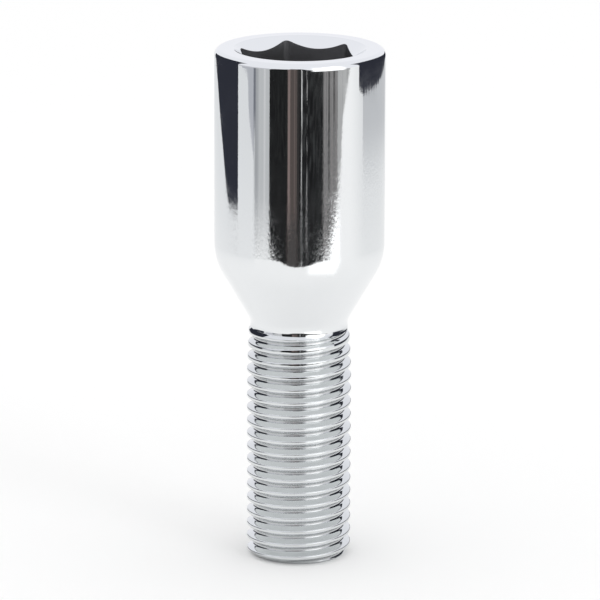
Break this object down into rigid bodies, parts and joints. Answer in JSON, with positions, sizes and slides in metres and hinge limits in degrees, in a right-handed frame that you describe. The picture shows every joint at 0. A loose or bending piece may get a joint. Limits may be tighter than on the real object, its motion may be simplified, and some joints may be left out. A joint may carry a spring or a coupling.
{
  "type": "lug bolt",
  "caption": "Long chrome-plated wheel bolt: round barrel head with an inside hexagon drive, cone seat and fine right-hand thread.",
  "frame": {"origin": "centre of the flat end face of the threaded shank, which the bolt stands on in the picture", "axes": "+Z along the bolt's axis, up from the thread towards the head; -Y towards the picture's camera"},
  "size_m": [0.019, 0.019, 0.0583],
  "materials": {
    "chrome": "polished chrome plate, slightly duller on the thread"
  },
  "bodies": {
    "root": {"lug_bolt": "chrome"}
  },
  "joints": []
}
